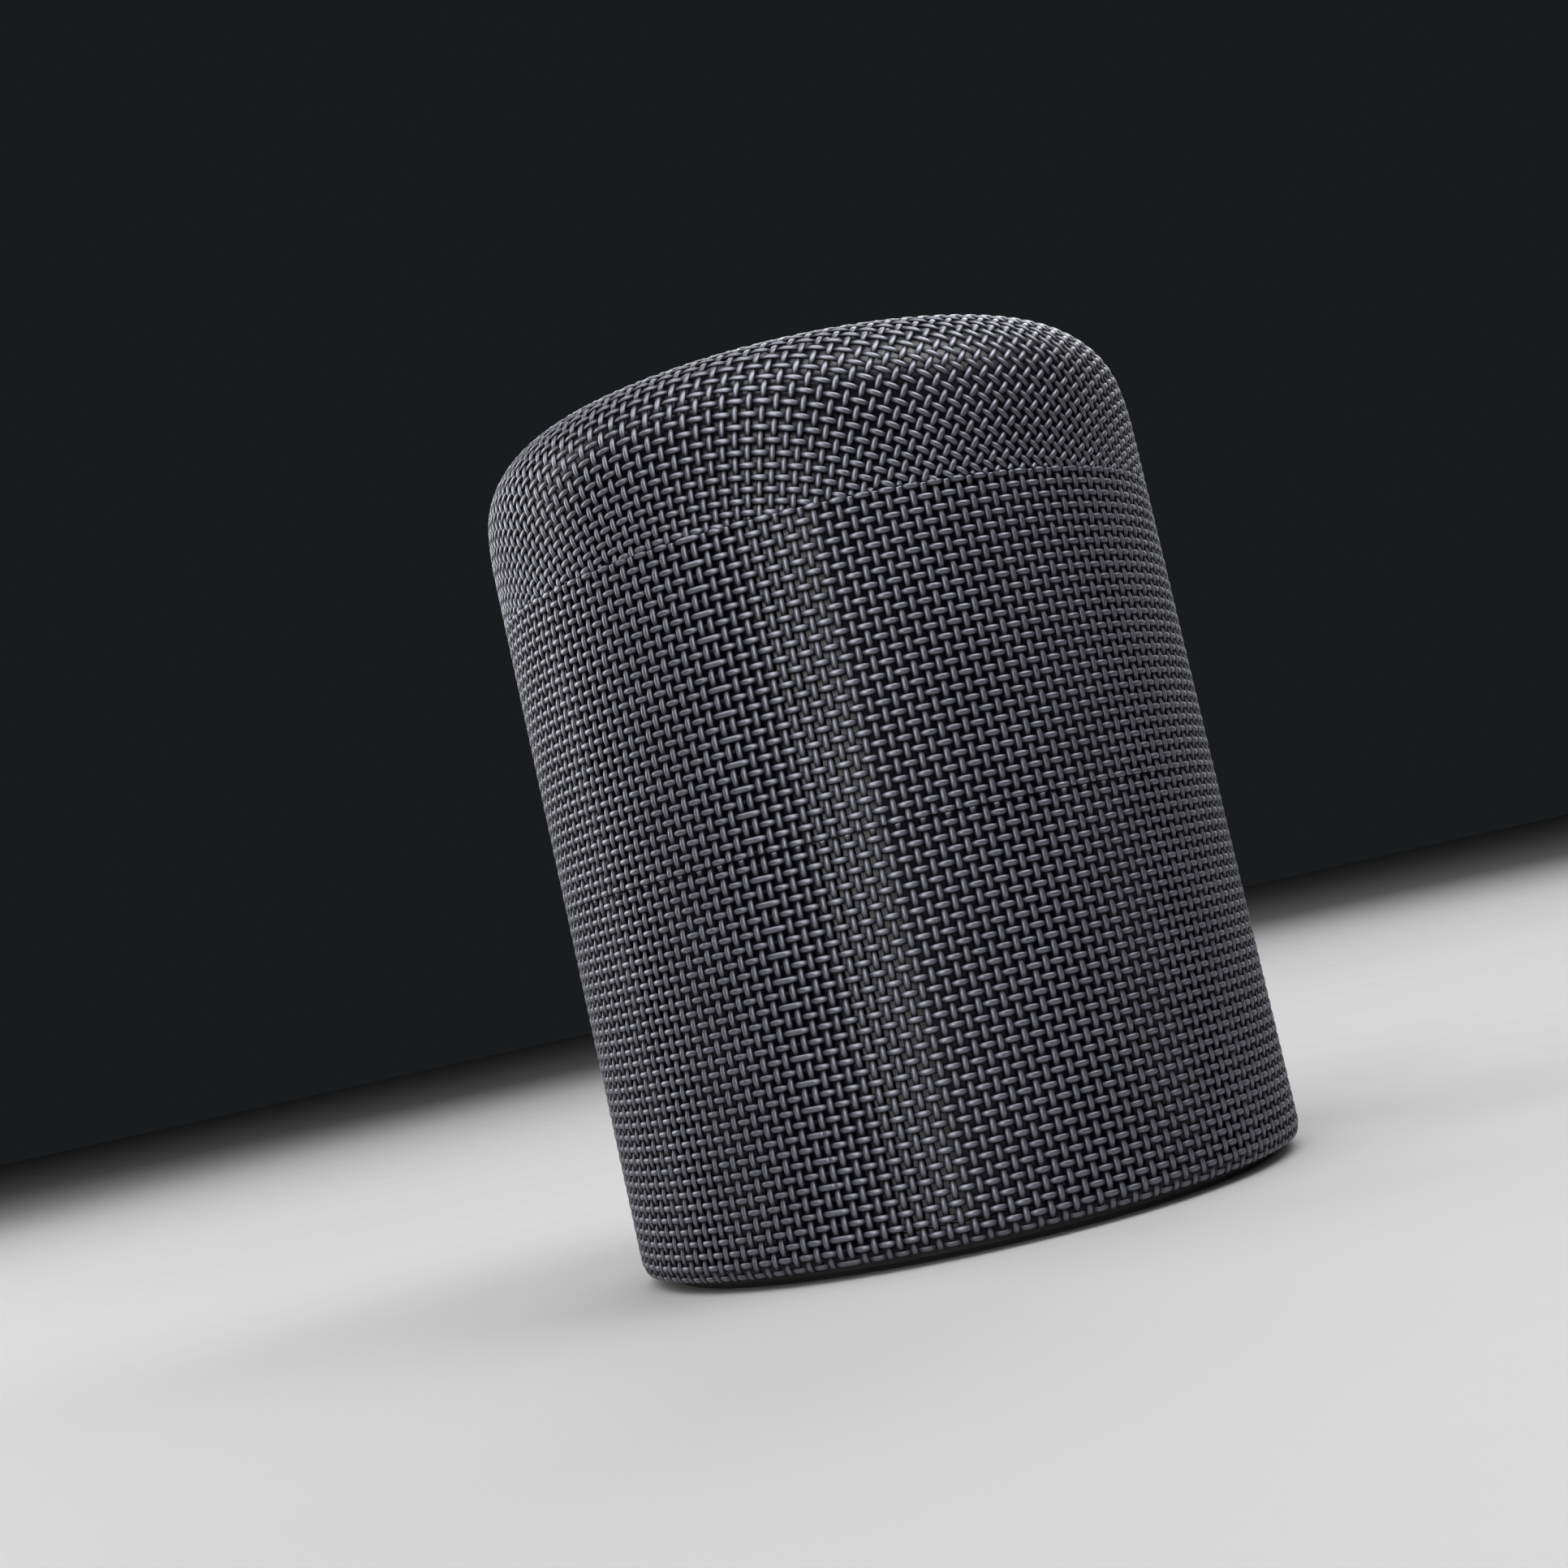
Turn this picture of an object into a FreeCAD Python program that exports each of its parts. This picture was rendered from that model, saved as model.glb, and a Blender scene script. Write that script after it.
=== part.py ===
import FreeCAD, Part
import math
import os

from FreeCAD import Vector

# Portable speaker: an upright cylinder with a domed top, covered all over in open woven mesh.
#
# Row frame: millimetres, +Z up, the origin on the surface it stands on, under the centre of the foot.
# The front of the speaker faces -Y and its charging port faces +Y.

# ---------------------------------------------------------------- driving dimensions
OUTER_RADIUS = 50.0          # over the crests of the woven mesh
STRAND_THICKNESS = 0.36      # of one flattened strand of the mesh, where two cross
STAND_OFF = 1.5              # the foot holds the mesh this far above the surface
SPLIT_HEIGHT = 55.16         # split between the lower and upper side mesh, above the mesh's edge
CAP_HEIGHT = 98.70           # where the side mesh ends and the cap's mesh starts
WALL_HEIGHT = 106.95         # end of the straight wall, where the dome starts
LEAN_RADIUS = 45.9           # first, gentle arc of the dome
LEAN_TURN = math.radians(8.41)
SHOULDER_RADIUS = 12.77      # tight arc of the dome's shoulder
CROWN_RADIUS = 163.2         # nearly flat crown

MESH_THICKNESS = 2 * STRAND_THICKNESS
MESH_TURN_IN = 1.35          # how far the mesh's lower edge curls in under the wall
MESH_TURN_HEIGHT = 2.6
LINER_DEPTH = 1.2            # from the mesh's crests in to the liner
LINER_THICKNESS = 0.5
HOUSING_RADIUS = 46.6
HOUSING_WALL = 2.4
PANEL_GAP = 0.1              # dark line between two stretches of mesh
CLEARANCE = 0.3              # between pieces that move past each other
SEAT_GAP = 0.02              # between pieces that are pressed together

BASE_RADIUS = 47.6
BASE_BOTTOM = 2.0
BASE_TOP = 4.6
FOOT_OUTER = 46.0
FOOT_INNER = 41.0
HOUSING_TOP = 91.0
BAFFLE_BOTTOM = 84.0
BAFFLE_TOP = 87.5

SCREW_RING = 36.0            # centres of the four base screws
SCREW_TURNS = (45, 135, 225, 315)
SHANK_RADIUS = 1.4
HEAD_RADIUS = 2.6
HEAD_HEIGHT = 1.5
BOSS_RADIUS = 3.4
BOSS_TOP = 14.0

DRIVER_SCREW_RING = 29.0
DRIVER_SCREW_TURNS = (0, 90, 180, 270)
SMALL_SHANK_RADIUS = 0.9     # of the driver's and the board's screws
BASKET_RADIUS = 31.0
CONE_EDGE = 22.0
CONE_NECK = 77.0
COIL_INNER = 8.3
COIL_OUTER = 8.9
MAGNET_BOTTOM = 58.5
MAGNET_TOP = 69.0

DEFLECTOR_POSTS = (30, 150, 270)
DEFLECTOR_BOTTOM = 97.0
DEFLECTOR_TOP = 114.5

RADIATOR_HEIGHT = 50.0       # centre of both passive radiators
RADIATOR_FACE = 33.0         # their frames' inner face, from the axis
RADIATOR_RADIUS = 25.0
RADIATOR_BORE = 19.0
FRAME_THICKNESS = 2.0
DIAPHRAGM_RADIUS = 14.0
DIAPHRAGM_WEIGHT_RADIUS = 8.0

CELL_RADIUS = 9.0
CELL_LENGTH = 64.0
CELL_HEIGHT = 15.6           # centre line of both cells
CELL_SPACING = 19.2

BOARD_FACE = 38.4            # back face of the main board
BOARD_THICKNESS = 1.6
BOARD_SCREWS = [(x, z) for x in (-15, 15) for z in (26, 54)]

PAD_RADIUS = 17.4            # control pad in the middle of the crown
BEZEL_RADIUS = 19.0
KEY_RING = 10.8              # centres of the four outer keys
OUTER_KEY_RADIUS = 3.7
PLAY_KEY_RADIUS = 4.8
LIGHT_RADIUS = 0.75

PORT_HEIGHT = 15.0           # centre of the charging port
PORT_LENGTH = 28.0
PORT_WIDTH = 12.0
POCKET_LENGTH = 23.0
POCKET_WIDTH = 8.0
POCKET_FLOOR = OUTER_RADIUS - 3.0
COVER_THICKNESS = 1.4
COVER_LENGTH = POCKET_LENGTH - 1.4
COVER_WIDTH = POCKET_WIDTH - 1.6

UP = Vector(0, 0, 1)
ORIGIN = Vector(0, 0, 0)
OVER = 1.0                   # how far a cutting tool reaches past what it cuts

os.makedirs("parts", exist_ok=True)


# ---------------------------------------------------------------- helpers
def save(name, shape):
    """Write one piece, checked for soundness, as the STEP of its node."""
    if not shape.isValid() or shape.Volume <= 0:
        raise RuntimeError("%s is not a sound solid" % name)
    shape.exportStep("parts/%s.step" % name)


def cylinder(radius, low, high, x=0.0, y=0.0):
    return Part.makeCylinder(radius, high - low, Vector(x, y, low))


def ring(outer, inner, low, high, x=0.0, y=0.0):
    return cylinder(outer, low, high, x, y).cut(cylinder(inner, low - OVER, high + OVER, x, y))


def rounded_top(radius, low, high, fillet, x=0.0, y=0.0):
    """An upright cylinder whose top edge is rounded."""
    plain = cylinder(radius, low, high, x, y)
    top_edges = [edge for edge in plain.Edges if edge.BoundBox.ZMin > high - 0.01]
    return plain.makeFillet(fillet, top_edges)


def side_cylinder(radius, start, end, y, z):
    """A cylinder along X, from start to end."""
    return Part.makeCylinder(radius, end - start, Vector(start, y, z), Vector(1, 0, 0))


def back_cylinder(radius, start, end, x, z):
    """A cylinder along Y, from start to end."""
    return Part.makeCylinder(radius, end - start, Vector(x, start, z), Vector(0, 1, 0))


def block(low, high):
    return Part.makeBox(high[0] - low[0], high[1] - low[1], high[2] - low[2], Vector(*low))


def revolved(points):
    """The ring or disc whose section is a polygon of (radius, height) points."""
    corners = [Vector(r, 0, z) for r, z in points]
    corners.append(corners[0])
    return Part.Face(Part.makePolygon(corners)).revolve(ORIGIN, UP, 360)


def joined(shapes):
    shapes = list(shapes)
    return shapes[0].fuse(shapes[1:]).removeSplitter()


def dome_edges(depth, low):
    """Outline of the dome, depth inside the mesh's crests, from height low on the wall to the axis.

    Wall, gentle arc, shoulder arc and crown arc are tangent, and every depth shares their centres.
    """
    wall_radius = OUTER_RADIUS - depth
    wall_top = STAND_OFF + WALL_HEIGHT
    lean_x = OUTER_RADIUS - LEAN_RADIUS
    shoulder_x = lean_x + (LEAN_RADIUS - SHOULDER_RADIUS) * math.cos(LEAN_TURN)
    shoulder_z = wall_top + (LEAN_RADIUS - SHOULDER_RADIUS) * math.sin(LEAN_TURN)
    crown_z = shoulder_z - math.sqrt((CROWN_RADIUS - SHOULDER_RADIUS) ** 2 - shoulder_x ** 2)
    crown_turn = math.atan2(shoulder_z - crown_z, shoulder_x)

    def on_arc(x, z, radius, turn):
        return Vector(x + radius * math.cos(turn), 0, z + radius * math.sin(turn))

    def arc(x, z, radius, start, end):
        middle = 0.5 * (start + end)
        ends = [on_arc(x, z, radius, turn) for turn in (start, middle, end)]
        return Part.Arc(*ends).toShape()

    return [
        Part.makeLine(Vector(wall_radius, 0, low), Vector(wall_radius, 0, wall_top)),
        arc(lean_x, wall_top, LEAN_RADIUS - depth, 0, LEAN_TURN),
        arc(shoulder_x, shoulder_z, SHOULDER_RADIUS - depth, LEAN_TURN, crown_turn),
        arc(0, crown_z, CROWN_RADIUS - depth, crown_turn, math.pi / 2),
    ]


def dome_top(depth):
    """Height of the crown on the axis, depth inside the mesh's crests."""
    return dome_edges(depth, STAND_OFF)[-1].BoundBox.ZMax


def dome_solid(depth, low):
    """Everything inside the dome's outline, from height low up."""
    edges = dome_edges(depth, low)
    top = Vector(0, 0, dome_top(depth))
    foot = Vector(0, 0, low)
    edges.append(Part.makeLine(top, foot))
    edges.append(Part.makeLine(foot, Vector(OUTER_RADIUS - depth, 0, low)))
    return Part.Face(Part.Wire(Part.__sortEdges__(edges))).revolve(ORIGIN, UP, 360)


def dome_shell(outer_depth, inner_depth, low):
    return dome_solid(outer_depth, low).cut(dome_solid(inner_depth, low - OVER))


def port_prism(length, width, start, end):
    """A bar with round ends, lying across the port, from y = start to y = end."""
    half = 0.5 * (length - width)
    radius = 0.5 * width
    middle = block((-half, start, PORT_HEIGHT - radius), (half, end, PORT_HEIGHT + radius))
    ends = [back_cylinder(radius, start, end, side * half, PORT_HEIGHT) for side in (-1, 1)]
    return joined([middle] + ends)


def lead(points, radius, bend):
    """A round lead along straight runs joined by tangent arcs."""
    corners = [Vector(*point) for point in points]
    edges = []
    start = corners[0]
    for before, corner, after in zip(corners, corners[1:], corners[2:]):
        arriving = (corner - before).normalize()
        leaving = (after - corner).normalize()
        turn = arriving.getAngle(leaving)
        reach = bend * math.tan(0.5 * turn)
        arc_start = corner - arriving * reach
        arc_end = corner + leaving * reach
        inward = (leaving - arriving).normalize()
        middle = corner + inward * (bend / math.cos(0.5 * turn) - bend)
        edges.append(Part.makeLine(start, arc_start))
        edges.append(Part.Arc(arc_start, middle, arc_end).toShape())
        start = arc_end
    edges.append(Part.makeLine(start, corners[-1]))
    section = Part.Wire(Part.makeCircle(radius, corners[0], corners[1] - corners[0]))
    return Part.Wire(edges).makePipeShell([section], True, False)


# ---------------------------------------------------------------- woven mesh and liner
def mesh_and_liner():
    inner_radius = OUTER_RADIUS - MESH_THICKNESS
    bottom = STAND_OFF
    split = STAND_OFF + SPLIT_HEIGHT
    cap = STAND_OFF + CAP_HEIGHT
    edge_radius = OUTER_RADIUS - MESH_TURN_IN
    bend_radius = OUTER_RADIUS - 0.35 * MESH_TURN_IN
    bend_height = bottom + 0.4 * MESH_TURN_HEIGHT
    lower = revolved([
        (edge_radius - MESH_THICKNESS, bottom),
        (edge_radius, bottom),
        (bend_radius, bend_height),
        (OUTER_RADIUS, bottom + MESH_TURN_HEIGHT),
        (OUTER_RADIUS, split - PANEL_GAP),
        (inner_radius, split - PANEL_GAP),
        (inner_radius, bottom + MESH_TURN_HEIGHT),
        (bend_radius - MESH_THICKNESS, bend_height),
    ])
    port_window = port_prism(PORT_LENGTH, PORT_WIDTH, 30, OUTER_RADIUS + OVER)
    save("side_mesh_lower", lower.cut(port_window))
    save("side_mesh_upper", ring(OUTER_RADIUS, inner_radius, split + PANEL_GAP, cap - PANEL_GAP))
    crown_hole = cylinder(BEZEL_RADIUS + 0.1, cap, dome_top(0) + OVER)
    save("cap_mesh", dome_shell(0, MESH_THICKNESS, cap).cut(crown_hole))

    liner_radius = OUTER_RADIUS - LINER_DEPTH
    liner_inner = liner_radius - LINER_THICKNESS
    sleeve = ring(liner_radius, liner_inner, BASE_TOP + 0.2, cap - 0.5)
    save("liner_sleeve", sleeve.cut(port_window))
    dome = dome_shell(LINER_DEPTH, LINER_DEPTH + LINER_THICKNESS, cap - 0.3)
    save("liner_dome", dome.cut(crown_hole))

    # narrow rings that seat the mesh's cut edges on the liner
    ring_outer = inner_radius - SEAT_GAP
    ring_inner = liner_radius + SEAT_GAP
    ring_height = 0.5
    save("split_ring", ring(ring_outer, ring_inner, split, split + ring_height))
    save("cap_ring", ring(ring_outer, ring_inner, cap - ring_height, cap))


# ---------------------------------------------------------------- base, foot and housing
def around(radius, turn):
    """The x and y of a point on a circle about the axis."""
    return radius * math.cos(math.radians(turn)), radius * math.sin(math.radians(turn))


def screw(head_radius, head_height, shank_radius, length):
    """A pan-head screw with a cross recess: head below z = 0, shank above."""
    head = cylinder(head_radius, -head_height, 0)
    shank = cylinder(shank_radius, 0, length)
    slot = 0.25 * head_radius
    reach = 0.6 * head_radius
    depth = -head_height + 0.7
    for across, along in ((slot, reach), (reach, slot)):
        head = head.cut(block((-across, -along, -head_height - OVER), (across, along, depth)))
    return joined([head, shank])


def base():
    plate = cylinder(BASE_RADIUS, BASE_BOTTOM, BASE_TOP)
    groove_top = BASE_BOTTOM + 0.8
    plate = plate.cut(ring(FOOT_OUTER, FOOT_INNER, BASE_BOTTOM - OVER, groove_top))
    for turn in SCREW_TURNS:
        x, y = around(SCREW_RING, turn)
        plate = plate.cut(cylinder(HEAD_RADIUS + 0.2, BASE_BOTTOM - OVER, BASE_BOTTOM + HEAD_HEIGHT, x, y))
        plate = plate.cut(cylinder(SHANK_RADIUS + 0.1, BASE_BOTTOM, BASE_TOP + OVER, x, y))
    save("base_plate", plate)

    round_over = 0.8
    foot = revolved([
        (FOOT_INNER, groove_top),
        (FOOT_INNER, round_over),
        (FOOT_INNER + round_over, 0),
        (FOOT_OUTER - round_over, 0),
        (FOOT_OUTER, round_over),
        (FOOT_OUTER, groove_top),
    ])
    save("foot_ring", foot)

    trim_inner = BASE_RADIUS + SEAT_GAP
    trim_lip = BASE_RADIUS + 0.5
    trim_outer = OUTER_RADIUS - LINER_DEPTH
    trim_bottom = BASE_BOTTOM + 0.4
    trim = revolved([
        (trim_inner, trim_bottom),
        (trim_lip, trim_bottom),
        (trim_outer, trim_bottom + 1.0),
        (trim_outer, BASE_TOP),
        (trim_inner, BASE_TOP),
    ])
    save("base_trim_ring", trim)

    screws = []
    for turn in SCREW_TURNS:
        x, y = around(SCREW_RING, turn)
        one = screw(HEAD_RADIUS, HEAD_HEIGHT, SHANK_RADIUS, 8.0)
        one.translate(Vector(x, y, BASE_BOTTOM + HEAD_HEIGHT))
        screws.append(one)
    save("base_screws", Part.makeCompound(screws))


def housing():
    inner = HOUSING_RADIUS - HOUSING_WALL
    tube = ring(HOUSING_RADIUS, inner, BASE_TOP, HOUSING_TOP)
    collar_bore = RADIATOR_RADIUS - 4.0
    inside = cylinder(HOUSING_RADIUS - 0.5, BASE_TOP, HOUSING_TOP)
    collar_start = RADIATOR_FACE + FRAME_THICKNESS
    for side in (-1, 1):
        near, far = sorted((side * collar_start, side * (HOUSING_RADIUS + OVER)))
        collar = side_cylinder(RADIATOR_RADIUS, near, far, 0, RADIATOR_HEIGHT).common(inside)
        bore = side_cylinder(collar_bore, near - OVER, far + OVER, 0, RADIATOR_HEIGHT)
        tube = tube.fuse(collar).cut(bore)
    for turn in SCREW_TURNS:
        x, y = around(SCREW_RING, turn)
        web_x, web_y = around(SCREW_RING + 4.5, turn)
        boss = cylinder(BOSS_RADIUS, BASE_TOP, BOSS_TOP, x, y)
        web = cylinder(BOSS_RADIUS + 0.8, BASE_TOP, BOSS_TOP, web_x, web_y).common(inside)
        hole = cylinder(SHANK_RADIUS, BASE_TOP - OVER, BOSS_TOP - 1.5, x, y)
        tube = tube.fuse([boss, web]).cut(hole)
    for x, z in BOARD_SCREWS:
        post = back_cylinder(3.0, BOARD_FACE, HOUSING_RADIUS, x, z).common(inside)
        hole = back_cylinder(SMALL_SHANK_RADIUS, BOARD_FACE - OVER, BOARD_FACE + 4.0, x, z)
        tube = tube.fuse(post).cut(hole)
    tube = tube.cut(port_prism(PORT_LENGTH - 1, PORT_WIDTH - 1, 36, HOUSING_RADIUS + OVER))
    save("housing_tube", tube.removeSplitter())

    baffle = ring(inner, 26.2, BAFFLE_BOTTOM, BAFFLE_TOP)
    for turn in DRIVER_SCREW_TURNS:
        x, y = around(DRIVER_SCREW_RING, turn)
        baffle = baffle.cut(cylinder(SMALL_SHANK_RADIUS, BAFFLE_BOTTOM - OVER, BAFFLE_TOP + OVER, x, y))
    ribbon_slot = block((-6, 39.5, BAFFLE_BOTTOM - OVER), (6, 42.5, BAFFLE_TOP + OVER))
    save("baffle", baffle.cut(ribbon_slot))


# ---------------------------------------------------------------- sound deflector and cap frame
def deflector_and_frame():
    hub = revolved([
        (0, DEFLECTOR_BOTTOM),
        (3, DEFLECTOR_BOTTOM + 0.6),
        (9, DEFLECTOR_BOTTOM + 6.0),
        (17, DEFLECTOR_TOP - 4.0),
        (28, DEFLECTOR_TOP - 2.0),
        (38, DEFLECTOR_TOP - 2.0),
        (38, DEFLECTOR_TOP),
        (0, DEFLECTOR_TOP),
    ])
    posts = []
    for turn in DEFLECTOR_POSTS:
        x, y = around(35.0, turn)
        posts.append(cylinder(2.2, BAFFLE_TOP, DEFLECTOR_TOP - 1, x, y))
    deflector = joined([hub] + posts)
    ribbon_notch = block((-6, 31, DEFLECTOR_TOP - 5), (6, 42.5, DEFLECTOR_TOP + OVER))
    save("sound_deflector", deflector.cut(ribbon_notch))

    frame_depth = LINER_DEPTH + LINER_THICKNESS + 0.1
    frame_thickness = 1.8
    low = HOUSING_TOP
    frame = dome_shell(frame_depth, frame_depth + frame_thickness, low)
    window_low = low + 4.0
    window_high = STAND_OFF + WALL_HEIGHT - 1.0
    for turn in range(0, 360, 45):
        window = block((30, -11, window_low), (OUTER_RADIUS, 11, window_high))
        window.rotate(ORIGIN, UP, turn)
        frame = frame.cut(window)
    save("cap_frame", frame.cut(cylinder(BEZEL_RADIUS + 0.1, low - OVER, dome_top(0) + 5)))


# ---------------------------------------------------------------- full-range driver
def driver():
    rim_low = BAFFLE_TOP
    rim_high = rim_low + 1.6
    basket = revolved([
        (BASKET_RADIUS, rim_low),
        (BASKET_RADIUS, rim_high),
        (25.6, rim_high),
        (25.6, rim_low - 6.0),
        (13.0, MAGNET_TOP + 1.6),
        (13.0, MAGNET_TOP),
        (15.0, MAGNET_TOP),
        (26.0, rim_low - 6.6),
        (26.0, rim_low),
    ])
    for turn in DRIVER_SCREW_TURNS:
        window = block((16.5, -7, MAGNET_TOP + 3.0), (30, 7, rim_low - 7.2))
        window.rotate(ORIGIN, UP, turn + 45)
        basket = basket.cut(window)
        x, y = around(DRIVER_SCREW_RING, turn)
        basket = basket.cut(cylinder(SMALL_SHANK_RADIUS, rim_low - OVER, rim_high + OVER, x, y))
    save("driver_basket", basket)

    ring_bottom = MAGNET_BOTTOM + 2.0
    ring_top = MAGNET_TOP - 2.5
    back_plate = cylinder(19.0, MAGNET_BOTTOM, ring_bottom)
    pole = cylinder(COIL_INNER - 0.7, ring_bottom, MAGNET_TOP)
    magnet = ring(20.0, 11.0, ring_bottom, ring_top)
    top_plate = ring(19.0, COIL_OUTER + 0.8, ring_top, MAGNET_TOP)
    save("driver_magnet", joined([back_plate, pole, magnet, top_plate]))

    # half-roll surround between the basket's rim and the cone's edge
    roll_low = rim_low + 0.2
    surround = revolved([
        (CONE_EDGE + 0.4, roll_low),
        (CONE_EDGE + 0.9, roll_low + 1.3),
        (CONE_EDGE + 1.8, roll_low + 1.8),
        (CONE_EDGE + 2.7, roll_low + 1.3),
        (CONE_EDGE + 3.2, roll_low + 0.6),
        (25.6, roll_low + 0.6),
        (25.6, roll_low),
        (CONE_EDGE + 2.8, roll_low),
        (CONE_EDGE + 2.3, roll_low + 0.9),
        (CONE_EDGE + 1.8, roll_low + 1.2),
        (CONE_EDGE + 1.3, roll_low + 0.9),
        (CONE_EDGE + 0.8, roll_low),
    ])
    save("driver_surround", surround)

    cone_top = rim_low + 0.6
    cone = revolved([
        (CONE_EDGE, cone_top),
        (COIL_OUTER, CONE_NECK),
        (COIL_OUTER, CONE_NECK - 0.7),
        (COIL_OUTER + 0.5, CONE_NECK - 0.7),
        (CONE_EDGE, cone_top - 0.8),
    ])
    save("driver_cone", cone)
    save("driver_voice_coil", ring(COIL_OUTER, COIL_INNER, MAGNET_TOP - 3.0, CONE_NECK))
    rise = 2.6
    sphere_radius = (COIL_OUTER ** 2 + rise ** 2) / (2 * rise)
    ball_centre = Vector(0, 0, CONE_NECK + rise - sphere_radius)
    ball = Part.makeSphere(sphere_radius, ball_centre)
    hollow = Part.makeSphere(sphere_radius - 0.5, ball_centre)
    save("driver_dust_cap", ball.cut(hollow).common(cylinder(COIL_OUTER, CONE_NECK, CONE_NECK + 5)))

    screws = []
    for turn in DRIVER_SCREW_TURNS:
        x, y = around(DRIVER_SCREW_RING, turn)
        one = screw(1.7, 1.1, SMALL_SHANK_RADIUS, 6.0)
        one.rotate(ORIGIN, Vector(1, 0, 0), 180)
        one.translate(Vector(x, y, rim_high))
        screws.append(one)
    save("driver_screws", Part.makeCompound(screws))


# ---------------------------------------------------------------- passive radiators
def passive_radiator(name, side):
    """A weighted diaphragm hung in a rubber roll, facing left (side = -1) or right (side = 1)."""
    def disc(outer, inner, start, end):
        near, far = sorted((side * start, side * end))
        whole = side_cylinder(outer, near, far, 0, RADIATOR_HEIGHT)
        if inner == 0:
            return whole
        return whole.cut(side_cylinder(inner, near - OVER, far + OVER, 0, RADIATOR_HEIGHT))

    face = RADIATOR_FACE
    save("%s_radiator_frame" % name, disc(RADIATOR_RADIUS, RADIATOR_BORE, face, face + FRAME_THICKNESS))
    roll = disc(RADIATOR_BORE, DIAPHRAGM_RADIUS + 0.4, face + 0.6, face + 1.2)
    save("%s_radiator_surround" % name, roll)
    weight = disc(DIAPHRAGM_WEIGHT_RADIUS, 0, face - 1.0, face + 0.5)
    save("%s_radiator_diaphragm" % name, joined([disc(DIAPHRAGM_RADIUS, 0, face + 0.5, face + 1.3), weight]))


# ---------------------------------------------------------------- battery and boards
def battery():
    half = 0.5 * CELL_LENGTH
    cells = []
    for y in (-0.5 * CELL_SPACING, 0.5 * CELL_SPACING):
        can = side_cylinder(CELL_RADIUS, -half, half, y, CELL_HEIGHT)
        button = side_cylinder(3.0, half, half + 1.2, y, CELL_HEIGHT)
        cells.append(joined([can, button]))
    save("battery_cells", Part.makeCompound(cells))

    low = BASE_TOP
    edge = CELL_SPACING + 0.4
    tray = block((-half, -edge, low), (half, edge, CELL_HEIGHT - 3.0))
    for y in (-0.5 * CELL_SPACING, 0.5 * CELL_SPACING):
        tray = tray.cut(side_cylinder(CELL_RADIUS, -half - OVER, half + OVER, y, CELL_HEIGHT))
    save("battery_tray", tray)


def electronics():
    front = BOARD_FACE - BOARD_THICKNESS
    board = block((-19, front, 8), (19, BOARD_FACE, 62))
    screws = []
    for x, z in BOARD_SCREWS:
        board = board.cut(back_cylinder(1.0, front - OVER, BOARD_FACE + OVER, x, z))
        one = screw(1.8, 1.1, SMALL_SHANK_RADIUS, 5.0)
        one.rotate(ORIGIN, Vector(1, 0, 0), -90)
        one.translate(Vector(x, front, z))
        screws.append(one)
    save("main_board", board)
    save("board_screws", Part.makeCompound(screws))

    fin_tip = front - 8.0
    sink = block((-9, front - 2.0, 32), (9, front, 50))
    fins = [block((x, fin_tip, 32), (x + 1.2, front - 2.0, 50)) for x in (-9, -5.1, -0.6, 3.9, 7.8)]
    save("amplifier_heat_sink", joined([sink] + fins))
    save("radio_module_shield", block((-7, front - 2.2, 13), (7, front, 25)))

    socket = block((-4.5, BOARD_FACE, PORT_HEIGHT - 1.65), (4.5, 45.4, PORT_HEIGHT + 1.65))
    socket = socket.makeFillet(1.5, [edge for edge in socket.Edges if abs(edge.Length - 7.0) < 0.01])
    mouth = block((-4.15, 39.4, PORT_HEIGHT - 1.3), (4.15, 46, PORT_HEIGHT + 1.3))
    mouth = mouth.makeFillet(1.2, [edge for edge in mouth.Edges if abs(edge.Length - 6.6) < 0.01])
    tongue = block((-3.3, 39.0, PORT_HEIGHT - 0.35), (3.3, 44.4, PORT_HEIGHT + 0.35))
    save("usb_socket", joined([socket.cut(mouth), tongue]))


# ---------------------------------------------------------------- charging port
def port():
    body = ring(OUTER_RADIUS, HOUSING_RADIUS - 2.0, 0, 40)
    body = body.common(port_prism(PORT_LENGTH - 0.2, PORT_WIDTH - 0.2, 30, OUTER_RADIUS + OVER))
    behind = port_prism(PORT_LENGTH - 1.2, PORT_WIDTH - 1.2, 30, OUTER_RADIUS)
    body = body.common(joined([behind, ring(OUTER_RADIUS + OVER, HOUSING_RADIUS + 0.1, 0, 40)]))
    pocket = port_prism(POCKET_LENGTH, POCKET_WIDTH, 30, OUTER_RADIUS + OVER)
    pocket = pocket.common(ring(OUTER_RADIUS + OVER, POCKET_FLOOR, 0, 40))
    plug_way = block((-4.7, 30, PORT_HEIGHT - 1.85), (4.7, OUTER_RADIUS, PORT_HEIGHT + 1.85))
    save("port_bezel", body.cut(pocket).cut(plug_way))

    cover = ring(OUTER_RADIUS - 0.1, OUTER_RADIUS - 0.1 - COVER_THICKNESS, 0, 40)
    cover = cover.common(port_prism(COVER_LENGTH, COVER_WIDTH, 30, OUTER_RADIUS + OVER))
    notch = back_cylinder(2.4, OUTER_RADIUS - 0.8, OUTER_RADIUS + OVER, 0, PORT_HEIGHT + 4.4)
    save("port_cover", cover.cut(notch))


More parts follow.
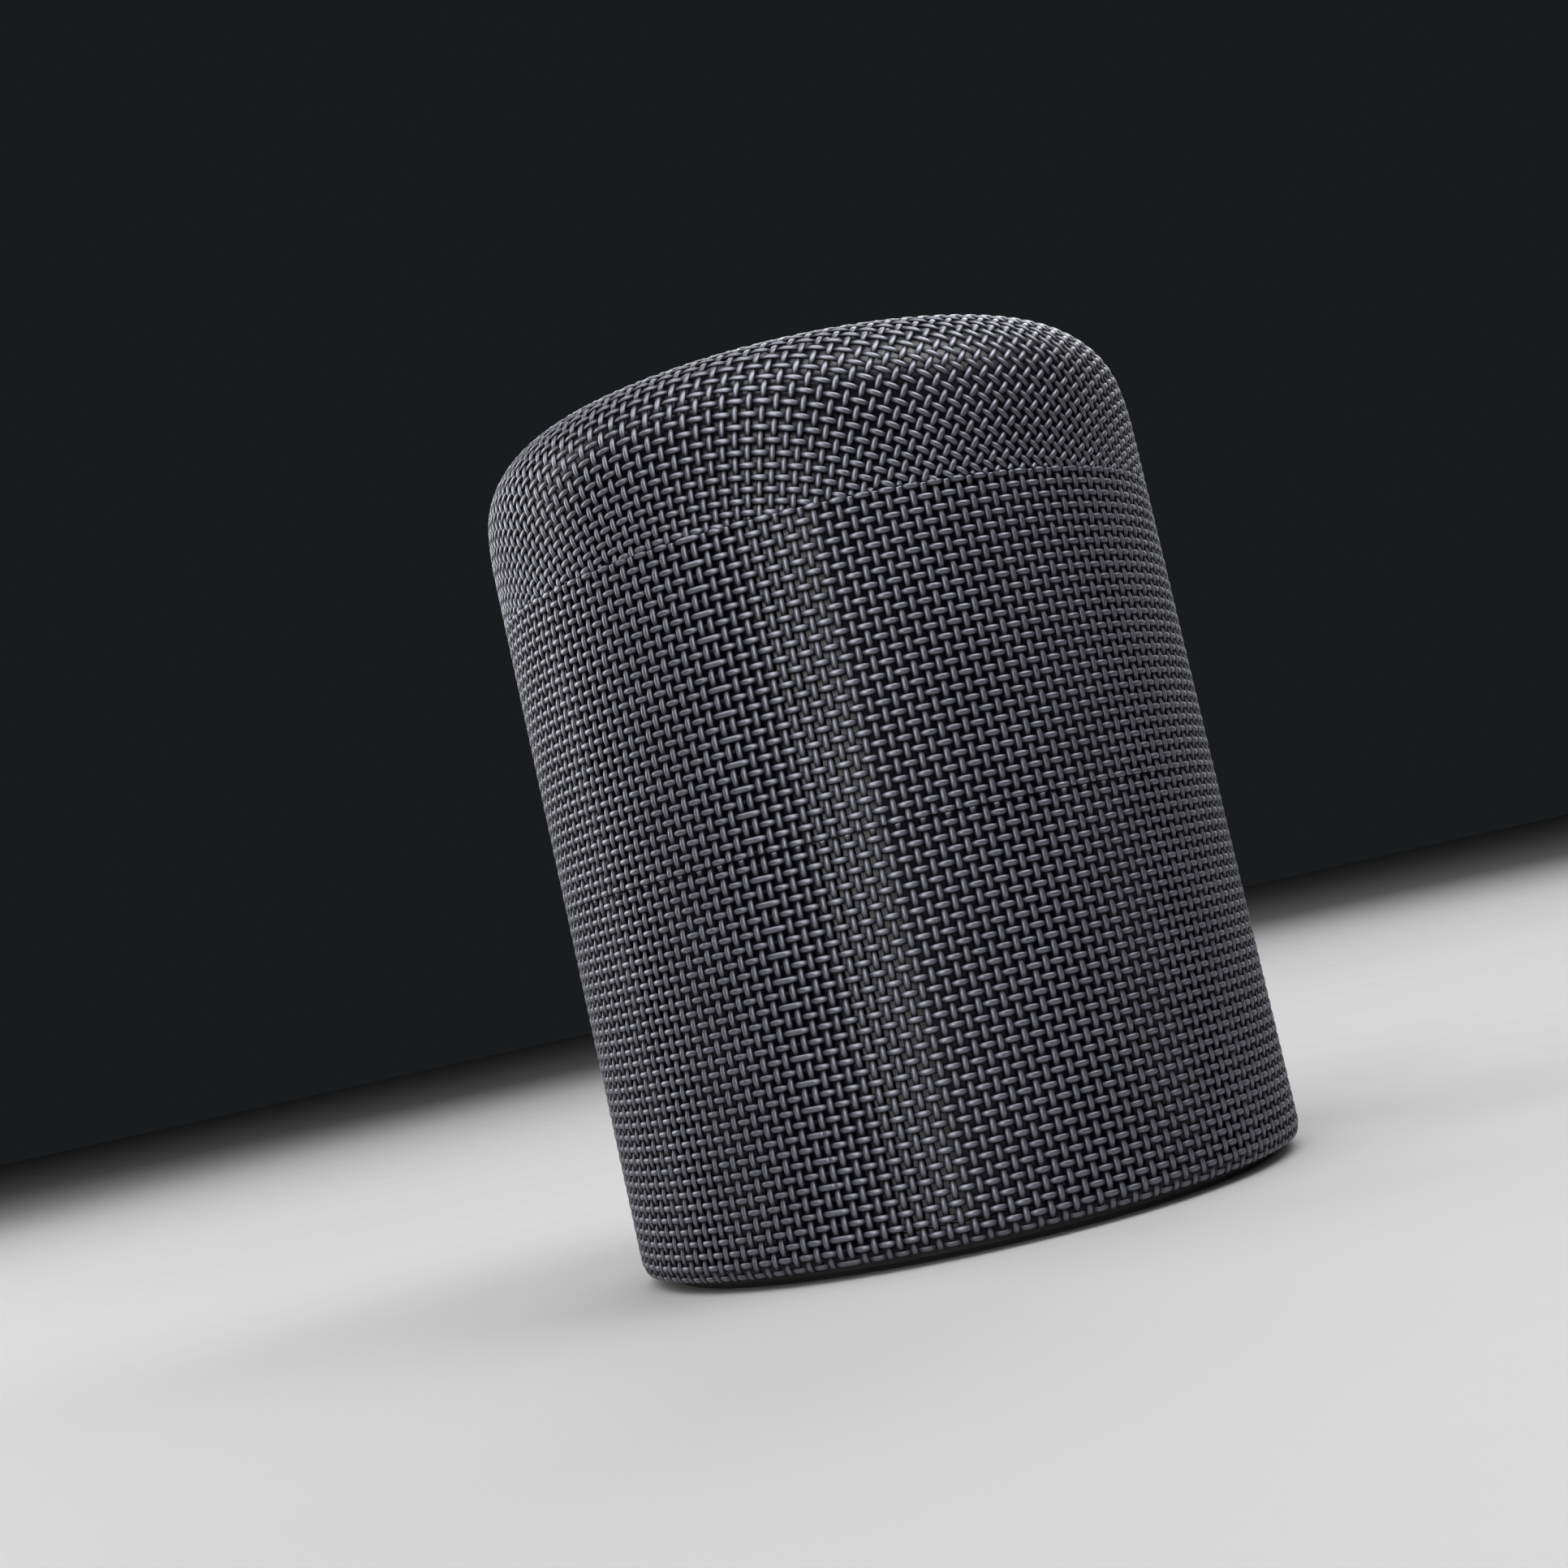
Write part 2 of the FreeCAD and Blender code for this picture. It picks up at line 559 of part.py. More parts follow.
# ---------------------------------------------------------------- controls on the crown
def controls():
    crown = dome_top(0)
    pad_top = crown - 0.5
    pad_bottom = pad_top - 2.6
    cup_bottom = pad_bottom - 7.4
    cup_outer = BEZEL_RADIUS - 0.3
    cup_inner = PAD_RADIUS - 0.4
    bezel_low = crown - 3.6
    bezel = revolved([
        (PAD_RADIUS + 0.1, bezel_low),
        (BEZEL_RADIUS, bezel_low),
        (BEZEL_RADIUS, crown - 0.5),
        (BEZEL_RADIUS - 0.4, crown - 0.1),
        (PAD_RADIUS + 0.5, crown - 0.1),
        (PAD_RADIUS + 0.1, crown - 0.5),
    ])
    save("pad_bezel", bezel)

    cup = ring(cup_outer, cup_inner, cup_bottom, bezel_low)
    floor = cylinder(cup_outer, cup_bottom, cup_bottom + 1.2)
    shelf = ring(cup_inner + 0.2, 15.2, cup_bottom + 1.2, cup_bottom + 3.0)
    stem = cylinder(9.0, DEFLECTOR_TOP, cup_bottom)
    cup = joined([cup, floor, shelf, stem])
    save("control_cup", cup.cut(block((-6, 15.5, cup_bottom - OVER), (6, 25, cup_bottom + 4.0))))

    key_places = {
        "play_key": (0.0, 0.0, PLAY_KEY_RADIUS),
        "volume_up_key": around(KEY_RING, 0) + (OUTER_KEY_RADIUS,),
        "power_key": around(KEY_RING, 90) + (OUTER_KEY_RADIUS,),
        "volume_down_key": around(KEY_RING, 180) + (OUTER_KEY_RADIUS,),
        "pairing_key": around(KEY_RING, 270) + (OUTER_KEY_RADIUS,),
    }
    pad = rounded_top(PAD_RADIUS, pad_bottom, pad_top, 0.4)
    for x, y, radius in key_places.values():
        pad = pad.cut(cylinder(radius + CLEARANCE, pad_bottom - OVER, pad_top + OVER, x, y))
    light_x, light_y = around(KEY_RING, 45)
    pad = pad.cut(cylinder(LIGHT_RADIUS + 0.05, pad_bottom - OVER, pad_top + OVER, light_x, light_y))
    save("control_pad", pad)
    save("status_light", cylinder(LIGHT_RADIUS, pad_bottom - 1.0, pad_top - 0.05, light_x, light_y))

    board_top = cup_bottom + 4.6
    board = cylinder(cup_inner - 0.1, cup_bottom + 3.0, board_top)
    save("key_board", board)
    switches = []
    for x, y, radius in key_places.values():
        case = block((x - 2, y - 2, board_top), (x + 2, y + 2, board_top + 0.7))
        switches.append(joined([case, cylinder(1.1, board_top + 0.7, board_top + 1.0, x, y)]))
    save("key_switches", Part.makeCompound(switches))

    for name, (x, y, radius) in key_places.items():
        cap = rounded_top(radius, pad_bottom - CLEARANCE, pad_top + 0.6, 0.35, x, y)
        flange = cylinder(radius + 0.8, pad_bottom - CLEARANCE - 0.7, pad_bottom - CLEARANCE, x, y)
        save(name, joined([cap, flange]))


# ---------------------------------------------------------------- leads
def leads():
    ribbon_back = 41.6
    ribbon = lead([
        (0, BOARD_FACE - BOARD_THICKNESS - 1.0, 60.0),
        (0, BOARD_FACE - BOARD_THICKNESS - 1.0, 68.0),
        (0, ribbon_back - 0.6, 76.0),
        (0, ribbon_back - 0.6, 108.0),
        (0, 33.0, 118.5),
        (0, 20.0, 118.5),
    ], 0.9, 4.0)
    save("key_ribbon", ribbon)
    driver_lead = lead([
        (12, BOARD_FACE - BOARD_THICKNESS - 1.0, 57.0),
        (12, BOARD_FACE - BOARD_THICKNESS - 8.0, 63.0),
        (12, 20.0, 65.0),
    ], 0.8, 3.5)
    save("driver_lead", driver_lead)
    battery_lead = lead([
        (-15, 22.5, 12.0),
        (-15, 29.5, 12.0),
        (-15, BOARD_FACE - BOARD_THICKNESS - 1.0, 19.5),
    ], 0.8, 3.5)
    save("battery_lead", battery_lead)


mesh_and_liner()
base()
housing()
deflector_and_frame()
driver()
passive_radiator("left", -1)
passive_radiator("right", 1)
battery()
electronics()
port()
controls()
leads()
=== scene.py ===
"""Looks of the portable speaker: woven mesh, glossy liner, crown controls, port and base."""
import math

import bpy
import numpy as np
from mathutils import Matrix, Vector


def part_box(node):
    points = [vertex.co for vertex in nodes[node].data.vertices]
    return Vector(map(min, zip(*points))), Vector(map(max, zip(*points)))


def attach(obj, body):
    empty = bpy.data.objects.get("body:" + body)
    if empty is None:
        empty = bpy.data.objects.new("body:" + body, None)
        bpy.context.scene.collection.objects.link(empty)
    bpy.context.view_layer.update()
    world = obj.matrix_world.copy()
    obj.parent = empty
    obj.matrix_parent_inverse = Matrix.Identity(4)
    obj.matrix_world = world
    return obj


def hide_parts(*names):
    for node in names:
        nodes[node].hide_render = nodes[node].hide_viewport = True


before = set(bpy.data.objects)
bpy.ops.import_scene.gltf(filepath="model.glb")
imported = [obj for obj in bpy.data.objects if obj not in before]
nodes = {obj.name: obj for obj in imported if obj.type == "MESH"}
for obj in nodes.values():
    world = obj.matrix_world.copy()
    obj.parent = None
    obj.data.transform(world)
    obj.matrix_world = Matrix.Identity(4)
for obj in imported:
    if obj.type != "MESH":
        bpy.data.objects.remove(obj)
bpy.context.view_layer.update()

# ---------------------------------------------------------------- sizes, in metres
MM = 0.001
MESH_LOW, MESH_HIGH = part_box("side_mesh_lower")
RADIUS = 0.5 * (MESH_HIGH[0] - MESH_LOW[0])        # over the crests of the mesh
EDGE_HEIGHT = MESH_LOW[2]                          # lower edge of the mesh
SPLIT_LOW = MESH_HIGH[2]                           # top of the lower side mesh
SPLIT_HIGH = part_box("side_mesh_upper")[0][2]       # bottom of the upper side mesh
RING_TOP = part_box("side_mesh_upper")[1][2]         # top of the upper side mesh
CAP_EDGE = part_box("cap_mesh")[0][2]                # lower edge of the cap's mesh
BEZEL_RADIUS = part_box("pad_bezel")[1][0]
STRAND_THICKNESS = 0.46 * MM
SWING = 0.13 * MM                                  # how far a strand weaves in and out
CREST = SWING + 0.5 * STRAND_THICKNESS             # from the middle of the cloth to its crests
PAINTED_EDGE_SHADE = 0.36                                  # painted shade on a strand's sides, in shares of the brightness on its top
SIDES = 8                                          # corners of a strand's section
STEPS = (0.0, 0.28, 0.5, 0.72)                     # points of a strand from one crossing to the next
FLATNESS = 1.4                                     # how flat a strand runs over a crossing

# the dome's outline: wall, gentle arc, shoulder, crown
WALL_TOP = EDGE_HEIGHT + 106.95 * MM
LEAN_RADIUS = 45.9 * MM
LEAN_TURN = math.radians(8.41)
SHOULDER_RADIUS = 12.77 * MM
CROWN_RADIUS = 163.2 * MM

# side weave: upright strands and hoops
UPRIGHTS = 185
JOINT_TURN = math.radians(-20.38)                  # where the side mesh is joined, from the front
JOINT_STEP = math.radians(1.72)                    # between the two uprights that meet there
UPRIGHT_STEP = (2 * math.pi - JOINT_STEP) / (UPRIGHTS - 1)
HOOP_PITCH = 1.7165 * MM
FIRST_HOOP = EDGE_HEIGHT + 0.55 * MM
LOWER_HOOPS = 32
FIRST_UPPER_HOOP = SPLIT_HIGH + 0.31 * MM
UPPER_HOOPS = 26
HOOP_WIDTH = 0.90 * MM
HOOP_DIVE = 0.80                                   # share of its width that a strand keeps where it dives
UPRIGHT_WIDTH = 0.93 * MM
UPRIGHT_DIVE = 0.92
TURN_IN = 1.35 * MM                                # how far the lower edge of the mesh turns in
TURN_IN_HEIGHT = 2.6 * MM

# cap weave: three families of strands round one three-way point under the control pad
CAP_STRANDS = 46.216                               # strands from that point to the cap's edge, about
CAP_TURN = math.radians(-24.99)
CAP_CENTRE = complex(-0.12, 0.0)
CAP_WIDTH = 0.88 * MM
CAP_DIVE = 0.82
CAP_CONE = 0.75                                    # three right angles of cloth round the point

# charging port
PORT_LOW, PORT_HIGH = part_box("port_bezel")
PORT_HEIGHT = 0.5 * (PORT_LOW[2] + PORT_HIGH[2])
PORT_RADIUS = 0.5 * (PORT_HIGH[2] - PORT_LOW[2])
PORT_HALF = 0.5 * (PORT_HIGH[0] - PORT_LOW[0]) - PORT_RADIUS

# printed marks on the keys
KEYS = ("play_key", "volume_up_key", "volume_down_key", "power_key", "pairing_key")
MARK_DEPTH = 0.2 * MM
MARK_PROUD = 0.04 * MM
MARK_LENGTH = 3.0 * MM
MARK_LINE = 0.5 * MM

NOISE_RANGE = (0.3, 0.7)                           # where most of a noise lies

# satin coat of the mesh, with painted shade from a strand's dives and sides (dark) to the middle of its crests
MESH_PAINTED_SHADE = (0.004, 0.004, 0.006)
MESH_LIGHT = (0.142, 0.144, 0.168)
MESH_PAINTED_SHADE_RANGE = (0.08, 0.95)
MESH_POLISH_RANGE = (0.2, 0.9)
MESH_DULL = 0.6
MESH_POLISHED = 0.37
MESH_METALLIC = 0.85
MESH_SPECULAR = 0.6

# camera and lamps
CAMERA_DISTANCE = 6.8621 * RADIUS
CAMERA_HEIGHT = EDGE_HEIGHT + 0.8006 * RADIUS
CAMERA_YAW = -0.0397
CAMERA_PITCH = 0.0795
CAMERA_ROLL = -0.2208
LENS = 51.667
SENSOR = 36.0
AIM_HEIGHT = 0.07
WHITE = (1.0, 1.0, 1.0)
WARM = (1.0, 1.0, 0.98)
LAMPS = (                                          # name, turn, lift, distance, width, height, radiance, tint
    ("front_strip", -13.5, 24, 1.0, 0.44, 1.0, 5.6, WARM),
    ("top_softbox", 8, 71, 0.9, 1.7, 0.6, 5.4, WHITE),
    ("side_softbox", 88, 52, 0.9, 0.7, 0.5, 3.8, WHITE),
    ("back_softbox", 168, 38, 1.0, 0.9, 0.6, 4.5, WHITE),
    ("left_softbox", -115, 24, 0.8, 0.5, 0.6, 5.6, WARM),
    ("right_softbox", 138, 12, 0.8, 0.4, 0.3, 1.2, WARM),
)
FLOOR_HALF = 4.0
ROOM_COLOUR = (0.85, 0.9, 1.0, 1)
ROOM_STRENGTH = 0.012


def placed(name, data):
    """A new object in the scene."""
    obj = bpy.data.objects.new(name, data)
    bpy.context.scene.collection.objects.link(obj)
    return obj


# ---------------------------------------------------------------- strands
class Weave:
    """Gathers strands into one mesh piece."""

    def __init__(self, width, dive):
        self.points = []
        self.faces = []
        self.ends = []
        self.painted_shade_masks = []
        self.count = 0
        self.width = width
        self.dive = dive

    def add(self, line, outward, swing, closed=False):
        """A strand along line, whose outward side is known at each point, and its swing from the middle."""
        if len(line) < 3:
            return
        if closed:
            along = np.roll(line, -1, 0) - np.roll(line, 1, 0)
        else:
            along = np.gradient(line, axis=0)
        along /= np.linalg.norm(along, axis=1)[:, None]
        across = np.cross(along, outward)
        across /= np.linalg.norm(across, axis=1)[:, None]
        up = np.cross(across, along)
        turns = 2 * np.pi * np.arange(SIDES) / SIDES
        lift = np.clip(0.5 + 0.5 * swing / SWING, 0, 1)
        half_width = 0.5 * self.width * (self.dive + (1 - self.dive) * lift)
        thick = 0.5 * STRAND_THICKNESS * np.cos(turns)[None, :, None] * up[:, None]
        wide = half_width[:, None, None] * np.sin(turns)[None, :, None] * across[:, None]
        ring = line[:, None] + thick + wide
        self.points.append(ring.reshape(-1, 3))
        # painted shade: a strand is made darker towards its sides and where it dives under
        painted_side_shade = PAINTED_EDGE_SHADE + (1 - PAINTED_EDGE_SHADE) * np.clip(np.cos(turns), 0, 1) ** 2
        self.painted_shade_masks.append((lift[:, None] * painted_side_shade).ravel())
        rings = len(line)
        here = np.arange(rings if closed else rings - 1)
        after = (here + 1) % rings
        corner = np.arange(SIDES)
        beside = (corner + 1) % SIDES
        a = here[:, None] * SIDES + corner
        b = here[:, None] * SIDES + beside
        c = after[:, None] * SIDES + beside
        d = after[:, None] * SIDES + corner
        self.faces.append(self.count + np.stack([a, b, c, d], -1).reshape(-1, 4))
        if not closed:
            self.ends.append(self.count + corner[::-1])
            self.ends.append(self.count + (rings - 1) * SIDES + corner)
        self.count += rings * SIDES

    def piece(self, name, node, material):
        """The gathered strands as one object, standing for a CAD node."""
        quads = np.concatenate(self.faces)
        mesh = bpy.data.meshes.new(name)
        faces = quads.tolist() + [end.tolist() for end in self.ends]
        mesh.from_pydata(np.concatenate(self.points).tolist(), [], faces)
        smooth = np.ones(len(faces), dtype=bool)
        smooth[len(quads):] = False
        mesh.polygons.foreach_set("use_smooth", smooth)
        mesh.materials.append(material)
        # painted shade kept on each point, from dark dives and sides to bright tops
        painted_shade_mask = mesh.attributes.new("painted_shade_mask", "FLOAT", "POINT")
        painted_shade_mask.data.foreach_set("value", np.concatenate(self.painted_shade_masks))
        mesh.update()
        obj = placed(name, mesh)
        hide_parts(node)
        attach(obj, "housing")


def woven(places, heights):
    """Samples a strand between its crossings: places along it, and its height over the cloth's middle."""
    share = np.array(STEPS)
    blend = 0.5 - 0.5 * np.tanh(FLATNESS * np.cos(np.pi * share)) / math.tanh(FLATNESS)
    place = places[:-1, None] + (places[1:] - places[:-1])[:, None] * share
    height = heights[:-1, None] + (heights[1:] - heights[:-1])[:, None] * blend
    return np.append(place.ravel(), places[-1]), np.append(height.ravel(), heights[-1])


def kept_runs(values, room):
    """Splits rows of values where room turns negative, with each end set on the line where it is nought."""
    runs = []
    run = []
    for i in range(len(values)):
        if room[i] >= 0:
            if not run and i > 0:
                share = room[i] / (room[i] - room[i - 1])
                run.append(values[i] + (values[i - 1] - values[i]) * share)
            run.append(values[i])
        elif run:
            share = room[i - 1] / (room[i - 1] - room[i])
            run.append(values[i - 1] + (values[i] - values[i - 1]) * share)
            runs.append(np.array(run))
            run = []
    if run:
        runs.append(np.array(run))
    return runs


# ---------------------------------------------------------------- side mesh
def on_wall(turn, height, swing):
    """Points and outward directions on the side mesh, which turns in at its lower edge."""
    depth = np.clip((EDGE_HEIGHT + TURN_IN_HEIGHT - height) / TURN_IN_HEIGHT, 0, 0.98)
    flat = np.sqrt(1 - depth ** 2)
    radius = RADIUS - TURN_IN * (1 - flat)
    tilt = np.arctan(TURN_IN / TURN_IN_HEIGHT * depth / flat)
    radial = np.stack([np.sin(turn), -np.cos(turn), np.zeros_like(turn)], -1)
    outward = radial * np.cos(tilt)[:, None]
    outward[:, 2] = -np.sin(tilt)
    points = radial * radius[:, None]
    points[:, 2] = height
    return points + outward * (swing - CREST)[:, None], outward


def port_room(turn, height):
    """How far a place on the wall lies outside the port's bezel."""
    x = RADIUS * np.sin(turn)
    beside = np.maximum(np.abs(x) - PORT_HALF, 0)
    distance = np.hypot(beside, height - PORT_HEIGHT) - PORT_RADIUS
    return np.where(np.cos(turn) > 0, 1.0, distance)


def add_side_strand(weave, turn, height, swing, closed):
    room = port_room(turn, height)
    if room.min() >= 0:
        line, outward = on_wall(turn, height, swing)
        last = -1 if closed else None
        weave.add(line[:last], outward[:last], swing[:last], closed)
        return
    for run in kept_runs(np.stack([turn, height, swing], -1), room):
        weave.add(*on_wall(*run.T), run[:, 2])


def upright_turns():
    """The turn of each upright from the front, starting at one side of the joint."""
    first = JOINT_TURN + 0.5 * JOINT_STEP
    return first + UPRIGHT_STEP * np.arange(UPRIGHTS)


def hoops(name, node, rows, first, parity, material):
    """The hoops of a stretch of side mesh, over an upright where row and upright don't match in parity."""
    weave = Weave(HOOP_WIDTH, HOOP_DIVE)
    turns = upright_turns()
    turns = np.append(turns, turns[0] + 2 * math.pi)
    for row in rows:
        over = np.where((row + np.arange(UPRIGHTS) + parity) % 2 == 0, SWING, -SWING)
        turn, swing = woven(turns, np.append(over, over[0]))
        height = np.full_like(turn, first + row * HOOP_PITCH)
        add_side_strand(weave, turn, height, swing, closed=True)
    weave.piece(name, node, material)


def uprights(name, node, count, first, parity, low, high, numbers, material):
    """The uprights of a stretch of side mesh, cut at its lower and upper edges."""
    weave = Weave(UPRIGHT_WIDTH, UPRIGHT_DIVE)
    turns = upright_turns()
    rows = np.arange(-1, count + 1)
    for number in numbers:
        over = np.where((rows + number + parity) % 2 == 0, -SWING, SWING)
        height, swing = woven(first + rows * HOOP_PITCH, over)
        values = np.stack([np.full_like(height, turns[number]), height, swing], -1)
        room = np.minimum(height - low, high - height)
        for run in kept_runs(values, room):
            add_side_strand(weave, *run.T, closed=False)
    weave.piece(name, node, material)


def side_mesh(material):
    front = [n for n in range(UPRIGHTS) if math.cos(upright_turns()[n]) > 0]
    back = [n for n in range(UPRIGHTS) if n not in front]
    half = LOWER_HOOPS // 2
    hoops("lower_mesh_hoops_bottom", "side_mesh_lower", range(half), FIRST_HOOP, 0, material)
    hoops("lower_mesh_hoops_top", "side_mesh_lower", range(half, LOWER_HOOPS), FIRST_HOOP, 0, material)
    half = UPPER_HOOPS // 2
    hoops("upper_mesh_hoops_bottom", "side_mesh_upper", range(half), FIRST_UPPER_HOOP, 1, material)
    hoops("upper_mesh_hoops_top", "side_mesh_upper", range(half, UPPER_HOOPS), FIRST_UPPER_HOOP, 1, material)
    low = EDGE_HEIGHT + 0.15 * MM
    for side, numbers in (("front", front), ("back", back)):
        uprights("lower_mesh_uprights_" + side, "side_mesh_lower", LOWER_HOOPS, FIRST_HOOP, 0,
                 low, SPLIT_LOW, numbers, material)
        uprights("upper_mesh_uprights_" + side, "side_mesh_upper", UPPER_HOOPS, FIRST_UPPER_HOOP, 1,
                 SPLIT_HIGH, RING_TOP, numbers, material)


# ---------------------------------------------------------------- cap mesh
class Dome:
    """The dome's outline from the cap's edge to the crown, read by how far in a flat map of it lies."""

    def __init__(self, points_per_arc=400):
        lean_x = RADIUS - LEAN_RADIUS
        shoulder_x = lean_x + (LEAN_RADIUS - SHOULDER_RADIUS) * math.cos(LEAN_TURN)
        shoulder_z = WALL_TOP + (LEAN_RADIUS - SHOULDER_RADIUS) * math.sin(LEAN_TURN)
        crown_z = shoulder_z - math.sqrt((CROWN_RADIUS - SHOULDER_RADIUS) ** 2 - shoulder_x ** 2)
        crown_turn = math.atan2(shoulder_z - crown_z, shoulder_x)
        last_turn = math.pi / 2 - 0.01
        arcs = (
            (lean_x, WALL_TOP, LEAN_RADIUS, 0, LEAN_TURN),
            (shoulder_x, shoulder_z, SHOULDER_RADIUS, LEAN_TURN, crown_turn),
            (0, crown_z, CROWN_RADIUS, crown_turn, last_turn),
        )
        wall = np.linspace(CAP_EDGE, WALL_TOP, points_per_arc, endpoint=False)
        radius = [np.full_like(wall, RADIUS)]
        height = [wall]
        slope = [np.zeros_like(wall)]
        for x, z, size, start, end in arcs:
            turn = np.linspace(start, end, points_per_arc)
            radius.append(x + size * np.cos(turn))
            height.append(z + size * np.sin(turn))
            slope.append(turn)
        self.radius = np.concatenate(radius)
        self.height = np.concatenate(height)
        self.slope = np.concatenate(slope)
        run = np.hypot(np.diff(self.radius), np.diff(self.height))
        middle = 0.5 * (self.radius[1:] + self.radius[:-1])
        self.depth = np.append(0, np.cumsum(run / middle))

    def place(self, spot, swing):
        """Points and outward directions on the dome for spots of the flat map, whose edge has radius 1."""
        depth = -np.log(np.abs(spot))
        turn = np.angle(spot)
        radius = np.interp(depth, self.depth, self.radius)
        height = np.interp(depth, self.depth, self.height)
        slope = np.interp(depth, self.depth, self.slope)
        outward = np.stack([np.cos(slope) * np.sin(turn), -np.cos(slope) * np.cos(turn), np.sin(slope)], -1)
        points = np.stack([radius * np.sin(turn), -radius * np.cos(turn), height], -1)
        return points + outward * (swing - CREST)[:, None], outward

    def spot_radius(self, radius):
        """Radius in the flat map of the circle of this radius round the crown."""
        return math.exp(-np.interp(-radius, -self.radius, self.depth))


def cap_mesh(material):
    """Strands of the cap: each family lies across one of three directions from the three-way point.

    In the cloth, strand number n is a straight line half a pitch past n from the point. The flat map
    opens the cloth's three right angles out to a full turn, the same way everywhere along a strand.
    """
    dome = Dome()
    hole = dome.spot_radius(BEZEL_RADIUS + 0.1 * MM)
    reach = int(CAP_STRANDS * 1.2)
    for family, name in enumerate(("front", "right", "left")):
        heading = np.exp(1j * (CAP_TURN + family * 2 * math.pi / 3))
        crossings = np.arange(-reach, reach) + 0.5
        for part, numbers in (("inner", range(0, 20)), ("outer", range(20, reach))):
            weave = Weave(CAP_WIDTH, CAP_DIVE)
            for number in numbers:
                over = SWING * np.where((number + np.arange(-reach, reach)) % 2 == 0, 1.0, -1.0)
                along, swing = woven(crossings, over)
                cloth = (number + 0.5 + 1j * along) / CAP_STRANDS
                spot = CAP_CENTRE + heading * cloth ** (1 / CAP_CONE)
                room = np.minimum(1 - np.abs(spot), np.abs(spot) - hole)
                for run in kept_runs(np.stack([spot.real, spot.imag, swing], -1), room):
                    weave.add(*dome.place(run[:, 0] + 1j * run[:, 1], run[:, 2]), run[:, 2])
            weave.piece("cap_mesh_%s_%s" % (name, part), "cap_mesh", material)


# ---------------------------------------------------------------- materials
def material(name):
    """A new node material and its main shader."""
    made = bpy.data.materials.new(name)
    made.use_nodes = True
    return made, made.node_tree, made.node_tree.nodes["Principled BSDF"]


def noise(tree, scale, detail=3.0):
    """A noise texture that reads the object's own coordinates."""
    coordinates = tree.nodes.new("ShaderNodeTexCoord")
    texture = tree.nodes.new("ShaderNodeTexNoise")
    texture.inputs["Scale"].default_value = scale
    texture.inputs["Detail"].default_value = detail
    tree.links.new(coordinates.outputs["Object"], texture.inputs["Vector"])
    return texture.outputs["Fac"]


def mixed_colour(tree, factor, low, high, spread=NOISE_RANGE, blend="LINEAR"):
    """A colour that goes from low to high as the factor goes through its spread."""
    ramp = tree.nodes.new("ShaderNodeValToRGB")
    ramp.color_ramp.interpolation = blend
    ramp.color_ramp.elements[0].position = spread[0]
    ramp.color_ramp.elements[1].position = spread[1]
    ramp.color_ramp.elements[0].color = (*low, 1)
    ramp.color_ramp.elements[1].color = (*high, 1)
    tree.links.new(factor, ramp.inputs["Fac"])
    return ramp.outputs["Color"]


def mapped(tree, factor, low, high, spread=NOISE_RANGE):
    """A number that goes from low to high as the factor goes through its spread."""
    scaled = tree.nodes.new("ShaderNodeMapRange")
    scaled.inputs["From Min"].default_value = spread[0]
    scaled.inputs["From Max"].default_value = spread[1]
    scaled.inputs["To Min"].default_value = low
    scaled.inputs["To Max"].default_value = high
    tree.links.new(factor, scaled.inputs["Value"])
    return scaled.outputs["Result"]


def bumped(tree, shader, height, strength, distance):
    bump = tree.nodes.new("ShaderNodeBump")
    bump.inputs["Strength"].default_value = strength
    bump.inputs["Distance"].default_value = distance
    tree.links.new(height, bump.inputs["Height"])
    tree.links.new(bump.outputs["Normal"], shader.inputs["Normal"])


def surface(name, low, high, rough, grain, bump=0.15, depth=0.02, drift=60.0, **constants):
    """A material whose colour and roughness wander a little, with a fine grain in relief."""
    made, tree, shader = material(name)
    fine = noise(tree, grain, detail=4.0)
    tree.links.new(mixed_colour(tree, noise(tree, drift), low, high), shader.inputs["Base Color"])
    tree.links.new(mapped(tree, fine, *rough), shader.inputs["Roughness"])
    for socket, value in constants.items():
        shader.inputs[socket.replace("_", " ")].default_value = value
    bumped(tree, shader, fine, bump, depth * MM)
    return made


def paint(made, *names):
    """Gives CAD nodes their finished material."""
    for name in names:
        for slot in nodes[name].material_slots:
            slot.material = made


def dark_plastic(name, shade, rough, grain):
    """A moulded plastic: a dark shade and a slightly lighter one, with a spark-eroded grain."""
    lighter = tuple(1.25 * part for part in shade)
    return surface(name, shade, lighter, rough, grain, bump=0.35, depth=0.03)


def metal(name, shade, rough):
    darker = tuple(0.85 * part for part in shade)
    return surface(name, darker, shade, rough, 900.0, bump=0.1, depth=0.01, Metallic=1.0)


def rubber(name, shade):
    lighter = tuple(1.3 * part for part in shade)
    return surface(name, shade, lighter, (0.62, 0.78), 1500.0, bump=0.3, depth=0.02, Specular_IOR_Level=0.35)


